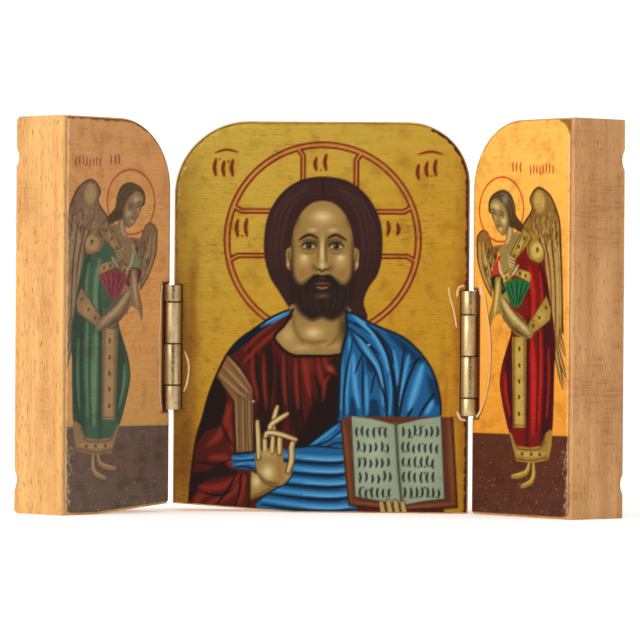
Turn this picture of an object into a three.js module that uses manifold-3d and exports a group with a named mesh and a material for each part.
// A small standing triptych: three beech blocks, a paper picture glued to the front of each, and two
// lengths of brass strip hinge that let the wings fold in over the middle block. It stands on its lower
// faces, +Z up, with the origin in the middle of the middle block's underside. The pictures face -Y.
// Lengths are millimetres.
import * as THREE from "three";
import { mergeVertices } from "three/addons/utils/BufferGeometryUtils.js";
import Module from "manifold-3d";

const wasm = await Module();
wasm.setup();

// Wooden blocks
const BLOCK_HEIGHT = 94;
const CENTRE_WIDTH = 71;
const CENTRE_THICKNESS = 16.5;
const WING_THICKNESS = 16.5;
const CLOSED_WING_SPACING = 0.5; // between the wings' free edges when they are shut
const CENTRE_LEFT_RADIUS = 17.8; // the saw left the middle block's two top corners unequal
const CENTRE_RIGHT_RADIUS = 15;
const WING_CORNER_RADIUS = 16.5;
const EDGE_CHAMFER = 0.3;
const CENTRE_BACK_ROUNDING = 0.8; // top and bottom edges at the back, eased by sanding
const LEFT_BACK_ROUNDING = 1.8;
const RIGHT_BACK_ROUNDING = 0.8;

// Undersides beside the left hinge, which the saw took off aslant; the rest is level
const UNDERSIDE_RISE = 2; // at the hinge
const CENTRE_SLOPE_LENGTH = 29; // from the middle block's left side face
const LEFT_WING_SLOPE_LENGTH = 24; // from the left wing's hinge side

// Dents across the wings' free back edges
const DENT_HEIGHTS = [8, 84.5];
const DENT_LENGTH = 5.5;
const DENT_DEPTH = 0.8;

// Paper pictures
const PICTURE_THICKNESS = 0.3;
const PICTURE_MARGIN = 0.35; // bare wood left round the paper
const WING_FREE_MARGIN = 1;
const WING_BOTTOM_MARGIN = 0.6;
const WING_PICTURE_CORNER = 2; // rubbed round at the bottom of the free side
const GLUE_LINE = 0.1;
const CLOSED_PICTURE_GAP = 1.4; // between facing pictures when the wings are shut

// Strip hinges: each leaf is rolled round the pin and sunk in a slot in the block's side
const BARREL_RADIUS = 2;
const LEAF_THICKNESS = 0.9;
const LEAF_WIDTH = 11; // from the pin's axis to the leaf's back edge
const KNUCKLE_PITCH = 10;
const HINGE_LENGTH = 30;
const LEFT_HINGE_HEIGHT = 24.5; // underside of the block to the hinge's lower end
const RIGHT_HINGE_HEIGHT = 23.5;
const LEFT_FIRST_KNUCKLE = 5.9; // part knuckle left at the lower end where the strip was sawn
const RIGHT_FIRST_KNUCKLE = 4.3;
const KNUCKLE_GAP = 0.3;
const PIN_CLEARANCE = 0.1;
const SLOT_CLEARANCE = 0.3;
const AXIS_OUTWARD = 0.15; // pin's axis beyond the blocks' side faces

// Pose in which the piece stands
const WING_FOLD_DEGREES = 49; // forward from lying level with the middle block

const ARC_SEGMENTS = 16;
const ROUNDING_SEGMENTS = 4;
const BARREL_SEGMENTS = 28;
const CUT_PAST = 5; // how far a cutting shape runs past the surface that it opens

const WING_WIDTH = (CENTRE_WIDTH - CLOSED_WING_SPACING) / 2;
const CENTRE_FRONT = -CENTRE_THICKNESS / 2;
const AXIS_FORWARD = GLUE_LINE + PICTURE_THICKNESS + CLOSED_PICTURE_GAP / 2; // pin's axis to a block's front
const SLOT_DEPTH = BARREL_RADIUS - AXIS_OUTWARD + SLOT_CLEARANCE;

const beech = new THREE.MeshStandardMaterial({ color: 0xd9a066, roughness: 0.7, metalness: 0 });
const paper = new THREE.MeshStandardMaterial({ color: 0xc29a35, roughness: 0.45, metalness: 0 });
const brass = new THREE.MeshStandardMaterial({ color: 0xb5a268, roughness: 0.35, metalness: 1 });

// Booleans

function solidOf(geometry) {
  const bare = geometry.clone().deleteAttribute("normal").deleteAttribute("uv");
  const merged = mergeVertices(bare, 1e-4);
  const vertProperties = merged.attributes.position.array;
  const triVerts = new Uint32Array(merged.index.array);
  return new wasm.Manifold(new wasm.Mesh({ numProp: 3, vertProperties, triVerts }));
}

function geometryOf(solid) {
  const mesh = solid.getMesh();
  const geometry = new THREE.BufferGeometry();
  geometry.setAttribute("position", new THREE.BufferAttribute(mesh.vertProperties, 3));
  geometry.setIndex(new THREE.BufferAttribute(mesh.triVerts, 1));
  geometry.computeVertexNormals();
  return geometry;
}

function cutFrom(geometry, tool) {
  return geometryOf(solidOf(geometry).subtract(solidOf(tool)));
}

function inBoth(geometry, other) {
  return geometryOf(solidOf(geometry).intersect(solidOf(other)));
}

function joined(geometries) {
  return geometryOf(geometries.map(solidOf).reduce((all, next) => all.add(next)));
}

function boxBetween(low, high) {
  const size = high.map((value, i) => value - low[i]);
  const middle = high.map((value, i) => (value + low[i]) / 2);
  return new THREE.BoxGeometry(...size).translate(...middle);
}

// Blocks and pictures. A span gives the low and high ends of an extent.

function spanOf(oneEnd, otherEnd) {
  return [Math.min(oneEnd, otherEnd), Math.max(oneEnd, otherEnd)];
}

// Rectangle with a radius of its own at each corner; a corner that is not named stays square
function roundedRectangle(acrossSpan, upSpan, radii) {
  const { bottomLeft = 0, bottomRight = 0, topRight = 0, topLeft = 0 } = radii;
  const [left, right] = acrossSpan;
  const [bottom, top] = upSpan;
  const corners = [
    [left, bottom, bottomLeft, 1, 1],
    [right, bottom, bottomRight, -1, 1],
    [right, top, topRight, -1, -1],
    [left, top, topLeft, 1, -1],
  ];
  const outline = new THREE.Shape();
  corners.forEach(([x, y, radius, inwardX, inwardY], i) => {
    const centre = [x + inwardX * radius, y + inwardY * radius];
    const turn = Math.PI + (i * Math.PI) / 2;
    const start = [centre[0] + radius * Math.cos(turn), centre[1] + radius * Math.sin(turn)];
    if (i === 0) {
      outline.moveTo(...start);
    } else {
      outline.lineTo(...start);
    }
    if (radius > 0) outline.absarc(...centre, radius, turn, turn + Math.PI / 2);
  });
  outline.closePath();
  return outline;
}

// Stands an outline up facing -Y and gives it thickness from Y = front backwards, with chamfered face edges
function slab(outline, front, thickness, chamfer) {
  const extruded = new THREE.ExtrudeGeometry(outline, {
    depth: thickness - 2 * chamfer,
    curveSegments: ARC_SEGMENTS,
    bevelEnabled: chamfer > 0,
    bevelSize: chamfer,
    bevelThickness: chamfer,
    bevelOffset: -chamfer,
    bevelSegments: 1,
  });
  return extruded.rotateX(Math.PI / 2).translate(0, front + thickness - chamfer, 0);
}

// The section across a block's thickness, with its two back corners eased, drawn out past the block's sides
function easedSection(widthSpan, front, thickness, rounding) {
  const corners = { bottomRight: rounding, topRight: rounding };
  const section = roundedRectangle([front - CUT_PAST, front + thickness], [0, BLOCK_HEIGHT], corners);
  const [left, right] = widthSpan;
  const depth = right - left + 2 * CUT_PAST;
  const drawnOut = { depth, curveSegments: ROUNDING_SEGMENTS, bevelEnabled: false };
  const turned = new THREE.Matrix4().makeBasis(
    new THREE.Vector3(0, 1, 0),
    new THREE.Vector3(0, 0, 1),
    new THREE.Vector3(1, 0, 0),
  );
  return new THREE.ExtrudeGeometry(section, drawnOut).applyMatrix4(turned).translate(left - CUT_PAST, 0, 0);
}

function block(widthSpan, corners, front, thickness, backRounding) {
  const outline = roundedRectangle(widthSpan, [0, BLOCK_HEIGHT], corners);
  const sawn = slab(outline, front, thickness, EDGE_CHAMFER);
  return inBoth(sawn, easedSection(widthSpan, front, thickness, backRounding));
}

function picture(widthSpan, upSpan, corners, blockFront) {
  const outline = roundedRectangle(widthSpan, upSpan, corners);
  return slab(outline, blockFront - GLUE_LINE - PICTURE_THICKNESS, PICTURE_THICKNESS, 0);
}

// What the saw took off below a level underside, as a wedge: nothing at X = start, the full rise at X = end.
// lift raises it, for the bare margin below a picture.
function undersideWedge(start, end, lift, front, thickness) {
  const past = end + Math.sign(end - start) * CUT_PAST;
  const rise = (UNDERSIDE_RISE * (past - start)) / (end - start);
  const outline = new THREE.Shape([
    new THREE.Vector2(start, -CUT_PAST),
    new THREE.Vector2(past, -CUT_PAST),
    new THREE.Vector2(past, lift + rise),
    new THREE.Vector2(start, lift),
  ]);
  return slab(outline, front - CUT_PAST, thickness + 2 * CUT_PAST, 0);
}

// Space for one hinge leaf and for the barrel in front of it; side is 1 on a right-hand side face and -1
// on a left-hand one
function hingeSlot(sideFace, side, front, hingeHeight) {
  const [left, right] = spanOf(sideFace - side * SLOT_DEPTH, sideFace + side * CUT_PAST);
  const back = front - AXIS_FORWARD + LEAF_WIDTH + SLOT_CLEARANCE;
  const bottom = hingeHeight - SLOT_CLEARANCE;
  const top = bottom + HINGE_LENGTH + 2 * SLOT_CLEARANCE;
  return boxBetween([left, front - CUT_PAST, bottom], [right, back, top]);
}

// Round-bottomed dent across an upright back edge; side is the way out of the block in X
function edgeDent(edge, side, back, height) {
  const radius = (DENT_LENGTH ** 2 / 4 + DENT_DEPTH ** 2) / (2 * DENT_DEPTH);
  const out = (radius - DENT_DEPTH) / Math.SQRT2;
  return new THREE.CylinderGeometry(radius, radius, 2 * radius, BARREL_SEGMENTS)
    .rotateZ(Math.PI / 2 - (side * Math.PI) / 4)
    .translate(edge + side * out, back + out, height);
}

// Hinges, built round the pin's axis at X = Y = 0, with their lower end at Z = 0

// Heights at which the strip's knuckles meet, with the two sawn ends
function knuckleJoints(firstKnuckle) {
  const joints = [0];
  for (let height = firstKnuckle; height < HINGE_LENGTH; height += KNUCKLE_PITCH) joints.push(height);
  return [...joints, HINGE_LENGTH];
}

function knuckle(bottom, top) {
  const ring = new THREE.Shape().absarc(0, 0, BARREL_RADIUS, 0, 2 * Math.PI);
  ring.holes.push(new THREE.Path().absarc(0, 0, BARREL_RADIUS - LEAF_THICKNESS, 0, 2 * Math.PI, true));
  const tube = { depth: top - bottom, curveSegments: BARREL_SEGMENTS, bevelEnabled: false };
  return new THREE.ExtrudeGeometry(ring, tube).translate(0, 0, bottom);
}

// Room in a leaf's front edge for the other leaf's knuckle
function knuckleRoom(bottom, top) {
  const reach = BARREL_RADIUS + SLOT_CLEARANCE;
  return boxBetween([-reach, -reach, bottom - KNUCKLE_GAP], [reach, reach, top + KNUCKLE_GAP]);
}

// One leaf with every second knuckle, its plate running back from the axis along the block that it is
// fixed to. blockSide is the side of the axis on which that block lies; firstOwn is 0 or 1, this leaf's
// lowest knuckle.
function hingeLeaf(firstKnuckle, firstOwn, blockSide) {
  const [left, right] = spanOf(blockSide * BARREL_RADIUS, blockSide * (BARREL_RADIUS - LEAF_THICKNESS));
  let plate = boxBetween([left, 0, 0], [right, LEAF_WIDTH, HINGE_LENGTH]);
  const joints = knuckleJoints(firstKnuckle);
  const own = [];
  for (let i = 0; i + 1 < joints.length; i += 1) {
    const bottom = joints[i] + (i === 0 ? 0 : KNUCKLE_GAP / 2);
    const top = joints[i + 1] - (i + 2 === joints.length ? 0 : KNUCKLE_GAP / 2);
    if (i % 2 === firstOwn) {
      own.push(knuckle(bottom, top));
    } else {
      plate = cutFrom(plate, knuckleRoom(bottom, top));
    }
  }
  return joined([plate, ...own]);
}

function hingePin() {
  const radius = BARREL_RADIUS - LEAF_THICKNESS - PIN_CLEARANCE;
  return new THREE.CylinderGeometry(radius, radius, HINGE_LENGTH, BARREL_SEGMENTS)
    .rotateX(Math.PI / 2)
    .translate(0, 0, HINGE_LENGTH / 2);
}

// Assembly. side is 1 for the wing on +X and -1 for the one on -X.

function named(name, geometry, material) {
  const mesh = new THREE.Mesh(geometry, material);
  mesh.name = name;
  return mesh;
}

function middle() {
  const half = CENTRE_WIDTH / 2;
  const corners = { topLeft: CENTRE_LEFT_RADIUS, topRight: CENTRE_RIGHT_RADIUS };
  const paperHalf = half - PICTURE_MARGIN;
  const paperUp = [PICTURE_MARGIN, BLOCK_HEIGHT - PICTURE_MARGIN];
  const paperCorners = {
    topLeft: CENTRE_LEFT_RADIUS - PICTURE_MARGIN,
    topRight: CENTRE_RIGHT_RADIUS - PICTURE_MARGIN,
  };
  let wood = block([-half, half], corners, CENTRE_FRONT, CENTRE_THICKNESS, CENTRE_BACK_ROUNDING);
  let sheet = picture([-paperHalf, paperHalf], paperUp, paperCorners, CENTRE_FRONT);
  for (const [side, height] of [[-1, LEFT_HINGE_HEIGHT], [1, RIGHT_HINGE_HEIGHT]]) {
    const slot = hingeSlot(side * half, side, CENTRE_FRONT, height);
    wood = cutFrom(wood, slot);
    sheet = cutFrom(sheet, slot);
  }
  const slopeStart = CENTRE_SLOPE_LENGTH - half;
  wood = cutFrom(wood, undersideWedge(slopeStart, -half, 0, CENTRE_FRONT, CENTRE_THICKNESS));
  sheet = cutFrom(sheet, undersideWedge(slopeStart, -half, PICTURE_MARGIN, CENTRE_FRONT, CENTRE_THICKNESS));
  return [named("centre_block", wood, beech), named("centre_picture", sheet, paper)];
}

// The wedge missing below a wing beside its hinge
function wingWedge(side, slopeLength, lift) {
  const hingeEdge = side * AXIS_OUTWARD;
  return undersideWedge(hingeEdge + side * slopeLength, hingeEdge, lift, AXIS_FORWARD, WING_THICKNESS);
}

function wingBlock(side, make) {
  const freeEdge = side * (AXIS_OUTWARD + WING_WIDTH);
  const corners = side > 0 ? { topLeft: WING_CORNER_RADIUS } : { topRight: WING_CORNER_RADIUS };
  const widthSpan = spanOf(side * AXIS_OUTWARD, freeEdge);
  let wood = block(widthSpan, corners, AXIS_FORWARD, WING_THICKNESS, make.backRounding);
  for (const height of DENT_HEIGHTS) {
    wood = cutFrom(wood, edgeDent(freeEdge, side, AXIS_FORWARD + WING_THICKNESS, height));
  }
  wood = cutFrom(wood, hingeSlot(side * AXIS_OUTWARD, -side, AXIS_FORWARD, make.hingeHeight));
  return make.slopeLength > 0 ? cutFrom(wood, wingWedge(side, make.slopeLength, 0)) : wood;
}

function wingPicture(side, make) {
  const hingeEdge = side * (AXIS_OUTWARD + PICTURE_MARGIN);
  const freeEdge = side * (AXIS_OUTWARD + WING_WIDTH - WING_FREE_MARGIN);
  const up = [WING_BOTTOM_MARGIN, BLOCK_HEIGHT - PICTURE_MARGIN];
  const arched = WING_CORNER_RADIUS - PICTURE_MARGIN;
  const rightWing = { topLeft: arched, bottomRight: WING_PICTURE_CORNER };
  const leftWing = { topRight: arched, bottomLeft: WING_PICTURE_CORNER };
  let sheet = picture(spanOf(hingeEdge, freeEdge), up, side > 0 ? rightWing : leftWing, AXIS_FORWARD);
  sheet = cutFrom(sheet, hingeSlot(side * AXIS_OUTWARD, -side, AXIS_FORWARD, make.hingeHeight));
  return make.slopeLength > 0 ? cutFrom(sheet, wingWedge(side, make.slopeLength, WING_BOTTOM_MARGIN)) : sheet;
}

// A wing with its hinge, about the hinge's axis: the leaf on the middle block, the pin, and all that swings.
// make holds what differs between the two wings.
function wing(word, side, make) {
  const wingLeaf = hingeLeaf(make.firstKnuckle, 1, side).translate(0, 0, make.hingeHeight);
  const centreLeaf = hingeLeaf(make.firstKnuckle, 0, -side).translate(0, 0, make.hingeHeight);
  const pin = hingePin().translate(0, 0, make.hingeHeight);
  const swinging = new THREE.Group();
  swinging.rotation.z = THREE.MathUtils.degToRad(-side * WING_FOLD_DEGREES);
  swinging.add(named(word + "_wing", wingBlock(side, make), beech));
  swinging.add(named(word + "_picture", wingPicture(side, make), paper));
  swinging.add(named(word + "_hinge_wing_leaf", wingLeaf, brass));

  const hung = new THREE.Group();
  hung.position.set(side * (CENTRE_WIDTH / 2 + AXIS_OUTWARD), CENTRE_FRONT - AXIS_FORWARD, 0);
  hung.add(named(word + "_hinge_centre_leaf", centreLeaf, brass));
  hung.add(named(word + "_hinge_pin", pin, brass));
  hung.add(swinging);
  return hung;
}

const leftMake = {
  firstKnuckle: LEFT_FIRST_KNUCKLE,
  hingeHeight: LEFT_HINGE_HEIGHT,
  backRounding: LEFT_BACK_ROUNDING,
  slopeLength: LEFT_WING_SLOPE_LENGTH,
};
const rightMake = {
  firstKnuckle: RIGHT_FIRST_KNUCKLE,
  hingeHeight: RIGHT_HINGE_HEIGHT,
  backRounding: RIGHT_BACK_ROUNDING,
  slopeLength: 0,
};

const triptych = new THREE.Group();
triptych.add(...middle());
triptych.add(wing("left", -1, leftMake));
triptych.add(wing("right", 1, rightMake));

export default triptych;
